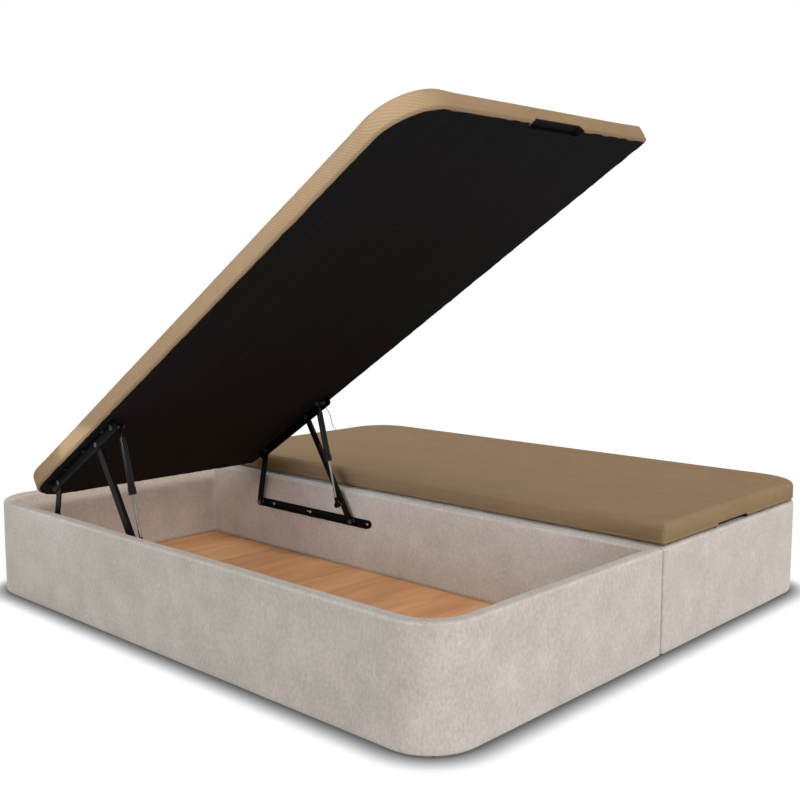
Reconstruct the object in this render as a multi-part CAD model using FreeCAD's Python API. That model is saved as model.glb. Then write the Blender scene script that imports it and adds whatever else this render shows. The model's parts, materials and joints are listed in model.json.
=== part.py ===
import FreeCAD, Part
import math
import os

Vector = FreeCAD.Vector
os.makedirs("parts", exist_ok=True)

# Whole base: two boxes side by side, foot end towards -Y, head end towards +Y
base_width = 1800.0
base_length = 1900.0
box_height = 293.0
module_gap = 4.0
corner_radius = 130.0

# Walls: boards wrapped in padded cloth
board_thickness = 24.0
cloth_thickness = 5.0
rim_radius = 11.0
seam_corner_radius = 9.0
inner_corner_radius = 12.0

# Floor board, the cleats round it and the bearers across it
floor_height = 36.0
floor_thickness = 10.0
floor_clearance = 1.0
cleat_width = 20.0
bearer_width = 45.0
bearer_shares = (-0.25, 0.0, 0.25)

# Glides under the walls
glide_radius = 11.0
glide_height = 6.0
glide_edge = 1.5

# Plates that join the two boxes under the seam
joining_plate_length = 120.0
joining_plate_width = 60.0
joining_plate_thickness = 3.0
joining_plate_shares = (-0.3, 0.3)
joining_screw_spacing = 70.0

# Wood screws
screw_radius = 2.0
screw_head_radius = 4.0
screw_head_height = 2.0
screw_grip = 20.0
screw_clearance = 0.1

# Lid: wooden frame and board, foam, mesh cover, lining underneath
lid_thickness = 55.0
lid_gap = 2.0
lid_seam_gap = 3.0
lid_seam_corner_radius = 18.0
lid_top_radius = 20.0
lid_bottom_radius = 5.0
cover_thickness = 3.0
cover_turn_width = 18.0
padding_side = 5.0
padding_top = 7.0
soft_clearance = 0.3
lid_board_thickness = 10.0
lid_rail_width = 60.0
lid_end_rail_width = 140.0
lid_cross_rail_shares = (-0.25, 0.0, 0.25)

# Finger pull in the foot edge of the lid
pull_centre = 390.0
pull_width = 200.0
pull_top_width = 168.0
pull_height = 10.0
pull_depth = 28.0
pull_wall = 2.0
pull_setback = 5.0
pull_clearance = 0.2

# Four-bar lift: setbacks and reaches are measured from the head end, the pivots' drop from the rim
lid_open_angle = 32.6
pivot_drop = 100.0
front_pivot_setback = 783.0
rear_pivot_setback = 321.0
front_hinge_reach = 406.5
rear_hinge_reach = 150.0
hinge_drop = 14.0
gas_pin_reach = 506.0
gas_pin_drop = 11.0
gas_stud_reach = 65.0

# Lower rail on the wall, and upper rail under the lid
rail_height = 26.0
rail_thickness = 3.0
rail_depth = 14.0
rail_front_overhang = 82.0
rail_rear_overhang = 15.0
rail_screw_shares = (0.03, 0.52, 0.86)
rail_slot_length = 22.0
upper_rail_drop = 28.0
upper_rail_front_overhang = 28.0
upper_rail_rear_overhang = 45.0
upper_rail_corner_radius = 12.0
upper_rail_wall_gap = 1.5
upper_rail_screw_shares = (0.16, 0.45, 0.735)

# Arms
arm_thickness = 4.0
arm_width = 24.0
arm_flange_depth = 11.0
arm_flange_thickness = 3.0
arm_flange_shares = ((0.09, 0.73), (0.83, 0.96))
layer_gap = 0.6

# Pins and studs
pin_radius = 4.0
pin_head_radius = 7.5
pin_head_height = 2.4
pin_end_gap = 0.4
running_clearance = 0.05
boss_radius = 8.0
stud_collar_radius = 7.0
stud_collar_height = 3.5
stud_neck_radius = 5.0

# Gas spring
gas_layer = 42.0
eye_width = 12.0
eye_radius = 8.0
eye_neck_radius = 6.0
eye_neck_length = 28.0
cylinder_radius = 10.0
cylinder_wall = 1.4
cylinder_length = 165.0
cylinder_end_thickness = 8.0
cap_radius = 11.5
cap_length = 22.0
cap_edge = 1.5
rod_radius = 4.0
rod_guide_length = 14.0
piston_length = 12.0
piston_headroom = 4.0
rod_end_radius = 9.0
rod_end_sleeve_radius = 5.8
rod_end_sleeve_length = 26.0
rod_end_grip = 12.0

# Tie wire on the left lid's gas stud by the centre wall, clear of the gas cylinder's path
wire_radius = 1.0
wire_route = [
    (-85.6, 284.0, 575.4),
    (-89.9, 263.0, 575.0),
    (-91.0, 241.0, 569.0),
    (-91.4, 222.0, 553.0),
    (-91.4, 212.0, 530.0),
    (-91.2, 208.0, 509.0),
    (-90.8, 194.0, 500.0),
]
wire_arc_share = 0.45

# One overrun for every cut, and how closely an edge has to lie at a height to be found there
overrun = 5.0
match_tolerance = 0.001

# Places that follow from the sizes above
head = base_length / 2
foot = -head
side = base_width / 2
wall = board_thickness + 2 * cloth_thickness
board_top = box_height - cloth_thickness
seam_face = module_gap / 2
centre_wall_face = seam_face + wall
outer_wall_face = side - wall
pivot_height = box_height - pivot_drop
lid_bottom = box_height + lid_gap
lid_top = lid_bottom + lid_thickness
wood_inset = cover_thickness + padding_side
lid_wood_bottom = lid_bottom + cover_thickness
lid_wood_top = lid_top - cover_thickness - padding_top
lid_frame_top = lid_wood_top - lid_board_thickness
arm_layer = rail_depth + layer_gap
arm_face = arm_layer + arm_thickness
gas_low = gas_layer - eye_width / 2
gas_high = gas_layer + eye_width / 2
across = Vector(1, 0, 0)
lengthways = Vector(0, 1, 0)
upward = Vector(0, 0, 1)


def turned(vector, degrees):
    """A vector turned about the X axis"""
    return FreeCAD.Rotation(across, degrees).multVec(vector)


def slope(vector):
    """Angle of a vector in the YZ plane, from +Y towards +Z"""
    return math.degrees(math.atan2(vector.z, vector.y))


def under_lid(reach, drop):
    """Point below the closed lid, by its distance from the head edge"""
    return Vector(0, head - reach, lid_bottom - drop)


# Four-bar linkage with the lid closed
front_pivot = Vector(0, head - front_pivot_setback, pivot_height)
rear_pivot = Vector(0, head - rear_pivot_setback, pivot_height)
front_hinge = under_lid(front_hinge_reach, hinge_drop)
rear_hinge = under_lid(rear_hinge_reach, hinge_drop)
gas_pin = under_lid(gas_pin_reach, gas_pin_drop)
front_arm_length = (front_hinge - front_pivot).Length
rear_arm_length = (rear_hinge - rear_pivot).Length
front_slope = slope(front_hinge - front_pivot)
rear_slope = slope(rear_hinge - rear_pivot)

# With the lid open, the front hinge is where two circles meet:
# the front arm's about its pivot, and the rear arm's shifted by the line of the lid's hinges
hinge_line = turned(rear_hinge - front_hinge, -lid_open_angle)
rear_circle_centre = rear_pivot - hinge_line
centre_line = rear_circle_centre - front_pivot
centre_distance = centre_line.Length
chord_distance = (centre_distance**2 + front_arm_length**2 - rear_arm_length**2) / (2 * centre_distance)
chord_rise = math.sqrt(front_arm_length**2 - chord_distance**2)
centre_direction = centre_line / centre_distance
chord_foot = front_pivot + centre_direction * chord_distance
open_front_hinge = chord_foot + turned(centre_direction, 90) * chord_rise
open_rear_hinge = open_front_hinge + hinge_line
open_gas_pin = open_front_hinge + turned(gas_pin - front_hinge, -lid_open_angle)
front_swing = slope(open_front_hinge - front_pivot) - front_slope
rear_swing = slope(open_rear_hinge - rear_pivot) - rear_slope

# Gas spring between the lid's pin and the front arm's stud
gas_stud = front_pivot + turned(lengthways * gas_stud_reach, front_slope)
open_gas_stud = front_pivot + turned(lengthways * gas_stud_reach, front_slope + front_swing)
gas_slope = slope(gas_stud - gas_pin)
gas_swing = slope(open_gas_stud - open_gas_pin) - gas_slope
gas_closed_length = (gas_stud - gas_pin).Length
gas_stroke = (open_gas_stud - open_gas_pin).Length - gas_closed_length

# How each body goes from the closed lid to the open one: a point, where it comes to, and the turn
swings = {
    "root": (front_pivot, front_pivot, 0.0),
    "front_arms": (front_pivot, front_pivot, front_swing),
    "lid": (front_hinge, open_front_hinge, -lid_open_angle),
    "rear_arms": (rear_hinge, open_rear_hinge, rear_swing),
    "gas_cylinders": (gas_pin, open_gas_pin, gas_swing),
    "gas_rods": (gas_stud, open_gas_stud, gas_swing),
}


def rounded_plan(u_low, u_high, half_length, outer_radius, seam_radius, z_low, z_high):
    """Prism on a plan whose outer corners and seam corners have their own radii"""
    corners = [
        Vector(u_low, -half_length, z_low),
        Vector(u_high, -half_length, z_low),
        Vector(u_high, half_length, z_low),
        Vector(u_low, half_length, z_low),
    ]
    radii = [seam_radius, outer_radius, outer_radius, seam_radius]
    middle_share = 1 - math.sqrt(0.5)
    edges = []
    last_end = None
    first_start = None
    for index, (corner, radius) in enumerate(zip(corners, radii)):
        before = (corners[index - 1] - corner).normalize()
        after = (corners[(index + 1) % len(corners)] - corner).normalize()
        start = corner + before * radius
        end = corner + after * radius
        if last_end is None:
            first_start = start
        else:
            edges.append(Part.LineSegment(last_end, start).toShape())
        if radius > 0:
            middle = corner + (before + after) * (radius * middle_share)
            edges.append(Part.Arc(start, middle, end).toShape())
        last_end = end
    edges.append(Part.LineSegment(last_end, first_start).toShape())
    return Part.Face(Part.Wire(edges)).extrude(upward * (z_high - z_low))


def box_plan(inset, seam_radius, z_low, z_high):
    """Prism on the plan of one box, drawn in from its faces"""
    faces = (seam_face + inset, side - inset, head - inset)
    return rounded_plan(*faces, corner_radius - inset, seam_radius, z_low, z_high)


def lid_plan(inset, z_low, z_high):
    """Prism on the plan of one lid, drawn in from its edges"""
    faces = (lid_seam_gap + inset, side - inset, head - inset)
    seam_radius = max(lid_seam_corner_radius - inset, 0)
    return rounded_plan(*faces, corner_radius - inset, seam_radius, z_low, z_high)


def block(x_low, x_high, y_low, y_high, z_low, z_high):
    """Box between two corners"""
    size = Vector(x_high - x_low, y_high - y_low, z_high - z_low)
    return Part.makeBox(size.x, size.y, size.z, Vector(x_low, y_low, z_low))


def edges_at(shape, z):
    """Edges that lie flat at one height"""
    return [edge for edge in shape.Edges
            if max(abs(edge.BoundBox.ZMin - z), abs(edge.BoundBox.ZMax - z)) < match_tolerance]


def disc(radius, start, end, place):
    """Round piece across the lift, from one layer to another"""
    return Part.makeCylinder(radius, end - start, Vector(start, place.y, place.z), across)


def stepped_pin(steps, place):
    """Pin of several radii across the lift"""
    discs = [disc(radius, start, end, place) for radius, start, end in steps]
    return discs[0].multiFuse(discs[1:]).removeSplitter()


def turned_piece(profile):
    """Solid of revolution along Y, from (radius, distance) points, in the gas spring's layer"""
    points = [Vector(gas_layer, distance, radius) for radius, distance in profile]
    face = Part.Face(Part.makePolygon(points + points[:1]))
    return face.revolve(Vector(gas_layer, 0, 0), lengthways, 360)


def link_plate(length, width, start, thickness):
    """Flat bar with round ends, along +Y between the centres of its ends"""
    radius = width / 2
    corners = [
        Vector(start, 0, -radius),
        Vector(start, length, -radius),
        Vector(start, length, radius),
        Vector(start, 0, radius),
    ]
    outline = [
        Part.LineSegment(corners[0], corners[1]).toShape(),
        Part.Arc(corners[1], Vector(start, length + radius, 0), corners[2]).toShape(),
        Part.LineSegment(corners[2], corners[3]).toShape(),
        Part.Arc(corners[3], Vector(start, -radius, 0), corners[0]).toShape(),
    ]
    return Part.Face(Part.Wire(outline)).extrude(across * thickness)


def swung(shape, degrees, place):
    """A piece made along +Y from the origin, turned to its slope and set at its pivot"""
    moved = shape.copy()
    moved.rotate(Vector(), across, degrees)
    moved.translate(place)
    return moved


def both_walls(shape):
    """A piece of the lift, once on the centre wall and once mirrored on the outer wall"""
    centre = shape.copy()
    centre.translate(across * centre_wall_face)
    outer = shape.mirror(Vector(), across)
    outer.translate(across * outer_wall_face)
    return [centre, outer]


def drilled(shapes, tools):
    """Shapes with every tool cut out"""
    return [shape.cut(tools) for shape in shapes]


def screw(direction, place, passed):
    """Wood screw: the head under the piece it holds, the shank through it and into the wood"""
    head_base = place - direction * screw_head_height
    shape = Part.makeCylinder(screw_head_radius, screw_head_height, head_base, direction)
    shank = Part.makeCylinder(screw_radius, passed + screw_grip, place, direction)
    return shape.fuse(shank).removeSplitter()


def screw_hole(direction, place, passed):
    """Hole for such a screw"""
    length = passed + screw_grip + screw_clearance
    return Part.makeCylinder(screw_radius + screw_clearance, length, place, direction)


# Boards and corner posts
def wall_boards():
    """The four straight boards of one box and its two curved corner posts"""
    outer_face = side - cloth_thickness
    inner_face = outer_face - board_thickness
    seam_board = seam_face + cloth_thickness
    seam_inner = seam_board + board_thickness
    end_face = head - cloth_thickness
    end_inner = end_face - board_thickness
    straight_end = side - corner_radius
    straight_side = head - corner_radius
    heights = (glide_height, board_top)
    boards = {
        "outer_side_board": block(inner_face, outer_face, -straight_side, straight_side, *heights),
        "centre_side_board": block(seam_board, seam_inner, -end_inner, end_inner, *heights),
        "head_board": block(seam_board, straight_end, end_inner, end_face, *heights),
        "foot_board": block(seam_board, straight_end, -end_face, -end_inner, *heights),
    }
    ring = box_plan(cloth_thickness, 0, *heights)
    ring = ring.cut(box_plan(cloth_thickness + board_thickness, 0, *heights))
    posts = [
        ring.common(block(straight_end, side, straight_side, head, *heights)),
        ring.common(block(straight_end, side, -head, -straight_side, *heights)),
    ]
    return boards, posts


# Floor board, cleats and bearers
def floor_pieces():
    """Floor board and the wooden strips it lies on"""
    inset = cloth_thickness + board_thickness
    floor_bottom = floor_height - floor_thickness
    board = box_plan(inset + floor_clearance, 0, floor_bottom, floor_height)
    heights = (glide_height, floor_bottom)
    inner_seam = seam_face + inset
    inner_side = side - inset
    inner_end = head - inset
    straight_side = head - corner_radius
    straight_end = side - corner_radius
    seam_cleat = inner_seam + cleat_width
    side_cleat = inner_side - cleat_width
    cleats = [
        block(inner_seam, seam_cleat, -inner_end, inner_end, *heights),
        block(side_cleat, inner_side, -straight_side, straight_side, *heights),
        block(seam_cleat, straight_end, inner_end - cleat_width, inner_end, *heights),
        block(seam_cleat, straight_end, -inner_end, cleat_width - inner_end, *heights),
    ]
    for share in bearer_shares:
        centre = share * base_length
        low = centre - bearer_width / 2
        cleats.append(block(seam_cleat, side_cleat, low, low + bearer_width, *heights))
    return board, cleats


# Upholstery
def box_upholstery():
    """Padded cloth over the outside, the rim and the inside of the walls"""
    cloth = box_plan(0, seam_corner_radius, glide_height, box_height)
    cavity = box_plan(wall, inner_corner_radius, glide_height, box_height)
    cloth = cloth.cut(cavity)
    cloth = cloth.makeFillet(rim_radius, edges_at(cloth, box_height))
    inner_inset = cloth_thickness + board_thickness
    boards = box_plan(cloth_thickness, 0, floor_height, board_top)
    boards = boards.cut(box_plan(inner_inset, 0, floor_height, board_top))
    below = box_plan(cloth_thickness, 0, glide_height, floor_height)
    return cloth.cut([boards, below])


# Glides
def box_glides():
    """Low plastic discs under the corners and the middles of the walls"""
    post_reach = (corner_radius - wall / 2) * math.sqrt(0.5)
    outer_u = side - corner_radius + post_reach
    outer_y = head - corner_radius + post_reach
    seam_u = seam_face + wall / 2
    end_y = head - wall / 2
    places = [(outer_u, outer_y), (outer_u, -outer_y), (seam_u, end_y), (seam_u, -end_y)]
    places += [(seam_u, 0), (side - wall / 2, 0)]
    glides = []
    for u, y in places:
        glide = Part.makeCylinder(glide_radius, glide_height, Vector(u, y, 0))
        glides.append(glide.makeChamfer(glide_edge, edges_at(glide, 0)))
    return glides


# Joining plates under the seam
def joining_pieces():
    """Plates across the seam, their screws and the holes in the boards above"""
    plates = []
    screws = []
    holes = []
    plate_bottom = glide_height - joining_plate_thickness
    board_centre = seam_face + wall / 2
    for share in joining_plate_shares:
        y = share * base_length
        half_width = joining_plate_width / 2
        y_low = y - joining_plate_length / 2
        y_high = y_low + joining_plate_length
        plate = block(-half_width, half_width, y_low, y_high, plate_bottom, glide_height)
        corners = [(u, y + shift) for u in (-board_centre, board_centre)
                   for shift in (-joining_screw_spacing / 2, joining_screw_spacing / 2)]
        for u, screw_y in corners:
            place = Vector(u, screw_y, plate_bottom)
            hole = screw_hole(upward, place, joining_plate_thickness)
            plate = plate.cut(hole)
            holes.append(hole)
            screws.append(screw(upward, place, joining_plate_thickness))
        plates.append(plate)
    return plates, screws, holes


# Lid
def rounded_slab(inset, z_low, z_high, top_radius):
    """Lid outline with a rounded top edge"""
    slab = lid_plan(inset, z_low, z_high)
    return slab.makeFillet(top_radius, edges_at(slab, z_high))


def pull_prism(margin, setback, depth):
    """Trapezium of the finger pull, grown by a margin, from the foot edge inwards"""
    half_width = pull_width / 2 + margin
    half_top = pull_top_width / 2 + margin
    y = foot + setback
    points = [
        Vector(pull_centre - half_width, y, lid_bottom),
        Vector(pull_centre + half_width, y, lid_bottom),
        Vector(pull_centre + half_top, y, lid_bottom + pull_height + margin),
        Vector(pull_centre - half_top, y, lid_bottom + pull_height + margin),
    ]
    face = Part.Face(Part.makePolygon(points + points[:1]))
    return face.extrude(lengthways * (depth + margin - setback))


def finger_pull():
    """Tray that lines the notch, open at the front and underneath"""
    tray = pull_prism(pull_wall, pull_setback, pull_depth)
    return tray.cut(pull_prism(0, 0, pull_depth))


def lid_pieces():
    """Wooden frame and board, foam, cover and lining of one lid, with the notch cut through them"""
    notch = pull_prism(pull_wall + pull_clearance, 0, pull_depth)
    inner_top = lid_top - cover_thickness
    cover = rounded_slab(0, lid_bottom, lid_top, lid_top_radius)
    cover = cover.makeFillet(lid_bottom_radius, edges_at(cover, lid_bottom))
    cavity = rounded_slab(cover_thickness, lid_wood_bottom, inner_top, lid_top_radius - cover_thickness)
    opening = lid_plan(cover_turn_width, lid_bottom, lid_wood_bottom)
    cover = cover.cut([cavity, opening, notch])

    foam_inset = cover_thickness + soft_clearance
    foam_radius = lid_top_radius - foam_inset
    foam = rounded_slab(foam_inset, lid_wood_bottom, inner_top - soft_clearance, foam_radius)
    foam = foam.cut([lid_plan(wood_inset - soft_clearance, lid_wood_bottom, lid_wood_top), notch])

    heights = (lid_wood_bottom, lid_frame_top)
    outline = lid_plan(wood_inset, *heights)
    low_u = lid_seam_gap + wood_inset
    high_u = side - wood_inset
    rail_end = head - lid_end_rail_width
    rails = [
        outline.common(block(low_u, high_u, rail_end, head, *heights)),
        outline.common(block(low_u, high_u, foot, -rail_end, *heights)).cut(notch),
        block(low_u, low_u + lid_rail_width, -rail_end, rail_end, *heights),
        block(high_u - lid_rail_width, high_u, -rail_end, rail_end, *heights),
    ]
    cross_ends = (low_u + lid_rail_width, high_u - lid_rail_width)
    for share in lid_cross_rail_shares:
        low = share * base_length - lid_rail_width / 2
        rails.append(block(*cross_ends, low, low + lid_rail_width, *heights))

    board = lid_plan(wood_inset, lid_frame_top, lid_wood_top)
    lining = lid_plan(cover_turn_width + soft_clearance, lid_bottom, lid_wood_bottom).cut(notch)
    return {"frame": rails, "board": [board], "padding": [foam], "cover": [cover], "lining": [lining]}


# Lower rail, on the wall
rail_start = front_pivot.y - rail_front_overhang
rail_end = rear_pivot.y + rail_rear_overhang
rail_screw_places = [
    Vector(rail_thickness, rail_start + share * (rail_end - rail_start), pivot_height)
    for share in rail_screw_shares
]
rail_screw_passed = rail_thickness + cloth_thickness


def lower_rail():
    """Angle on the wall with round ends, a bottom flange, a slot and holes"""
    end_radius = rail_height / 2
    length = rail_end - rail_start - rail_height
    web = link_plate(length, rail_height, 0, rail_thickness)
    flange = block(0, rail_depth, 0, length, -end_radius, rail_thickness - end_radius)
    rail = web.fuse(flange).removeSplitter()
    rail.translate(Vector(0, rail_start + end_radius, pivot_height))
    pin_holes = [disc(pin_radius + running_clearance, -overrun, rail_depth, pivot)
                 for pivot in (front_pivot, rear_pivot)]
    screw_holes = [screw_hole(-across, place, rail_screw_passed) for place in rail_screw_places]
    slot_width = 2 * (screw_radius + screw_clearance)
    slot = link_plate(rail_slot_length, slot_width, -overrun, rail_depth + overrun)
    slot.translate(rail_screw_places[1] - across * rail_thickness)
    return rail.cut(pin_holes + screw_holes + [slot])


def lower_pins():
    """Front pin that carries the front arm, and the boss that the rear arm's end lies on"""
    boss_end = arm_layer - pin_end_gap
    head_start = arm_face + pin_end_gap
    front = stepped_pin([
        (pin_radius, 0, head_start),
        (boss_radius, rail_thickness, boss_end),
        (pin_head_radius, head_start, head_start + pin_head_height),
    ], front_pivot)
    rear = stepped_pin([(pin_radius, 0, boss_end), (boss_radius, rail_thickness, boss_end)], rear_pivot)
    return [front, rear]


# Upper rail, under the lid
upper_rail_start = gas_pin.y - upper_rail_front_overhang
upper_rail_end = rear_hinge.y + upper_rail_rear_overhang
upper_rail_length = upper_rail_end - upper_rail_start
upper_screw_layer = upper_rail_wall_gap + screw_head_radius + layer_gap
upper_screw_places = [
    Vector(upper_screw_layer, upper_rail_start + share * upper_rail_length, lid_bottom - rail_thickness)
    for share in upper_rail_screw_shares
]
upper_screw_passed = rail_thickness + cover_thickness


def upper_rail():
    """Angle under the lid: one flange on the lining, one hanging down with the pin holes"""
    ends = (upper_rail_start, upper_rail_end)
    z_low = lid_bottom - upper_rail_drop
    web = block(rail_depth - rail_thickness, rail_depth, *ends, z_low, lid_bottom)
    corners = [edge for edge in edges_at(web, z_low) if edge.BoundBox.XLength > edge.BoundBox.YLength]
    web = web.makeFillet(upper_rail_corner_radius, corners)
    flange = block(upper_rail_wall_gap, rail_depth, *ends, lid_bottom - rail_thickness, lid_bottom)
    holes = [disc(pin_radius + running_clearance, 0, rail_depth + overrun, place)
             for place in (front_hinge, rear_hinge, gas_pin)]
    holes += [screw_hole(upward, place, upper_screw_passed) for place in upper_screw_places]
    return web.fuse(flange).removeSplitter().cut(holes)


def upper_pins():
    """Pins of both arms and the stud of the gas spring, fixed in the upper rail"""
    web_back = rail_depth - rail_thickness
    back_head = (pin_head_radius - pin_end_gap, web_back - pin_head_height, web_back)
    spacer = (boss_radius - pin_end_gap, rail_depth, arm_layer - pin_end_gap)
    head_start = arm_face + pin_end_gap
    pins = []
    for hinge in (front_hinge, rear_hinge):
        pins.append(stepped_pin([
            back_head,
            (pin_radius, web_back, head_start),
            spacer,
            (pin_head_radius, head_start, head_start + pin_head_height),
        ], hinge))
    eye_end = gas_high + pin_end_gap
    pins.append(stepped_pin([
        back_head,
        (pin_radius, web_back, eye_end),
        (stud_neck_radius, rail_depth, gas_low - pin_end_gap),
        (stud_collar_radius, rail_depth, rail_depth + stud_collar_height),
        (pin_head_radius - pin_end_gap, eye_end, eye_end + pin_head_height),
    ], gas_pin))
    return pins


# Arms
def arm_bar(length):
    """Flat arm with a hole at each end"""
    bar = link_plate(length, arm_width, arm_layer, arm_thickness)
    places = (Vector(), Vector(0, length, 0))
    return bar.cut([disc(pin_radius + running_clearance, arm_layer - overrun, arm_face + overrun, place)
                    for place in places])


def front_arm():
    """Front arm: two flange tabs are folded inwards along its upper edge"""
    arm = arm_bar(front_arm_length)
    edge = arm_width / 2
    fold = edge - arm_flange_thickness
    tabs = []
    for start_share, end_share in arm_flange_shares:
        y_low = start_share * front_arm_length
        y_high = end_share * front_arm_length
        tabs.append(block(arm_layer, arm_layer + arm_flange_depth, y_low, y_high, fold, edge))
    arm = arm.multiFuse(tabs).removeSplitter()
    stud_place = Vector(0, gas_stud_reach, 0)
    hole_ends = (arm_layer - overrun, arm_face + overrun)
    return arm.cut(disc(pin_radius + running_clearance, *hole_ends, stud_place))


def arm_stud():
    """Stud on the front arm that the end of the gas rod sits against"""
    return stepped_pin([
        (pin_radius, arm_layer, arm_face),
        (stud_collar_radius, arm_face, arm_face + stud_collar_height),
        (stud_neck_radius, arm_face, gas_low - pin_end_gap),
    ], Vector(0, gas_stud_reach, 0))


def rear_arm_rivet():
    """Rivet at the lower end of the rear arm, flush behind it"""
    return stepped_pin([
        (pin_radius, arm_layer, arm_face),
        (pin_head_radius, arm_face, arm_face + pin_head_height),
    ], Vector())


# Gas spring, along +Y from the lid's pin
cylinder_start = eye_neck_length
cylinder_end = cylinder_start + cylinder_length
bore_start = cylinder_start + cylinder_end_thickness
bore_radius = cylinder_radius - cylinder_wall
guide_start = cylinder_end - rod_guide_length
sleeve_start = gas_closed_length - rod_end_sleeve_length
rod_tip = sleeve_start + rod_end_grip
piston_start = bore_start + piston_headroom


def gas_eye():
    """Eye on the lid's stud, with a neck to the cylinder"""
    eye = disc(eye_radius, gas_low, gas_high, Vector())
    neck = Part.makeCylinder(eye_neck_radius, cylinder_start, Vector(gas_layer, 0, 0), lengthways)
    hole = disc(pin_radius + running_clearance, gas_low - overrun, gas_high + overrun, Vector())
    return eye.fuse(neck).removeSplitter().cut(hole)


def gas_cylinder():
    """Tube closed at the eye end, with a wider cap and a guide hole at the rod end"""
    guide_radius = rod_radius + running_clearance
    cap_start = cylinder_end - cap_length
    return turned_piece([
        (0, cylinder_start),
        (cylinder_radius - cap_edge, cylinder_start),
        (cylinder_radius, cylinder_start + cap_edge),
        (cylinder_radius, cap_start),
        (cap_radius, cap_start + cap_edge),
        (cap_radius, cylinder_end - cap_edge),
        (cap_radius - cap_edge, cylinder_end),
        (guide_radius, cylinder_end),
        (guide_radius, guide_start),
        (bore_radius, guide_start),
        (bore_radius, bore_start),
        (0, bore_start),
    ])


def gas_rod():
    """Polished rod with its piston"""
    piston_radius = bore_radius - running_clearance
    return turned_piece([
        (0, piston_start),
        (piston_radius, piston_start),
        (piston_radius, piston_start + piston_length),
        (rod_radius, piston_start + piston_length),
        (rod_radius, rod_tip),
        (0, rod_tip),
    ])


def rod_end():
    """Socket at the end of the rod, with a sleeve"""
    socket = disc(rod_end_radius, gas_low, gas_high, Vector(0, gas_closed_length, 0))
    base = Vector(gas_layer, sleeve_start, 0)
    sleeve = Part.makeCylinder(rod_end_sleeve_radius, rod_end_sleeve_length, base, lengthways)
    bore = Part.makeCylinder(rod_radius + running_clearance, rod_end_grip, base, lengthways)
    return socket.fuse(sleeve).removeSplitter().cut(bore)


# Tie wire
def tie_wire():
    """Round wire along its route: straight runs joined by arcs as large as the runs allow"""
    points = [Vector(*point) for point in wire_route]
    edges = []
    radii = []
    run_start = points[0]
    for before, point, after in zip(points, points[1:], points[2:]):
        inward = (point - before).normalize()
        outward = (after - point).normalize()
        half_turn = inward.getAngle(outward) / 2
        setback = wire_arc_share * min((point - before).Length, (after - point).Length)
        radius = setback / math.tan(half_turn)
        rise = radius / math.cos(half_turn) - radius
        arc_start = point - inward * setback
        arc_end = point + outward * setback
        middle = point + (outward - inward).normalize() * rise
        edges.append(Part.LineSegment(run_start, arc_start).toShape())
        edges.append(Part.Arc(arc_start, middle, arc_end).toShape())
        radii.append(round(radius, 1))
        run_start = arc_end
    edges.append(Part.LineSegment(run_start, points[-1]).toShape())
    path = Part.Wire(edges)
    section = Part.Wire(Part.makeCircle(wire_radius, points[0], points[1] - points[0]))
    wire = path.makePipeShell([section], True, False)
    swept = math.pi * wire_radius**2 * path.Length
    print("tie wire length", round(path.Length, 1), "radii", radii)
    print("tie wire volume over section times length", round(wire.Volume / swept, 4))
    return wire


def lift_side(shape, degrees, place):
    """A moving piece of the lift at its closed slope, on both walls"""
    return both_walls(swung(shape, degrees, place))


# One box with its closed lid: node name, then its body and its solids
boards, posts = wall_boards()
floor_board, floor_cleats = floor_pieces()
lid = lid_pieces()
joining_plates, joining_screws, joining_holes = joining_pieces()
rail_holes = []
rail_screws = []
for rail_place in rail_screw_places:
    rail_holes += both_walls(screw_hole(-across, rail_place, rail_screw_passed))
    rail_screws += both_walls(screw(-across, rail_place, rail_screw_passed))
lid_holes = []
lid_screws = []
for screw_place in upper_screw_places:
    lid_holes += both_walls(screw_hole(upward, screw_place, upper_screw_passed))
    lid_screws += both_walls(screw(upward, screw_place, upper_screw_passed))
lower_pivots = [solid for pin in lower_pins() for solid in both_walls(pin)]
upper_pivots = [solid for pin in upper_pins() for solid in both_walls(pin)]

pieces = {
    "outer_side_board": ("root", drilled([boards["outer_side_board"]], rail_holes)),
    "centre_side_board": ("root", drilled([boards["centre_side_board"]], rail_holes + joining_holes)),
    "head_board": ("root", [boards["head_board"]]),
    "foot_board": ("root", [boards["foot_board"]]),
    "corner_posts": ("root", posts),
    "floor_board": ("root", [floor_board]),
    "floor_cleats": ("root", floor_cleats),
    "upholstery": ("root", drilled([box_upholstery()], rail_holes)),
    "lower_rails": ("root", both_walls(lower_rail())),
    "lower_pivots": ("root", lower_pivots),
    "lid_frame": ("lid", drilled(lid["frame"], lid_holes)),
    "lid_board": ("lid", lid["board"]),
    "lid_padding": ("lid", lid["padding"]),
    "lid_cover": ("lid", lid["cover"]),
    "lid_lining": ("lid", drilled(lid["lining"], lid_holes)),
    "finger_pull": ("lid", [finger_pull()]),
    "upper_rails": ("lid", both_walls(upper_rail())),
    "upper_rail_screws": ("lid", lid_screws),
    "upper_pivots": ("lid", upper_pivots),
    "front_arms": ("front_arms", lift_side(front_arm(), front_slope, front_pivot)),
    "arm_studs": ("front_arms", lift_side(arm_stud(), front_slope, front_pivot)),
    "rear_arms": ("rear_arms", lift_side(arm_bar(rear_arm_length), rear_slope, rear_pivot)),
    "rear_arm_rivets": ("rear_arms", lift_side(rear_arm_rivet(), rear_slope, rear_pivot)),
    "gas_cylinders": ("gas_cylinders", lift_side(gas_cylinder(), gas_slope, gas_pin)),
    "gas_eyes": ("gas_cylinders", lift_side(gas_eye(), gas_slope, gas_pin)),
    "gas_rods": ("gas_rods", lift_side(gas_rod(), gas_slope, gas_pin)),
    "rod_ends": ("gas_rods", lift_side(rod_end(), gas_slope, gas_pin)),
}


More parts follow.
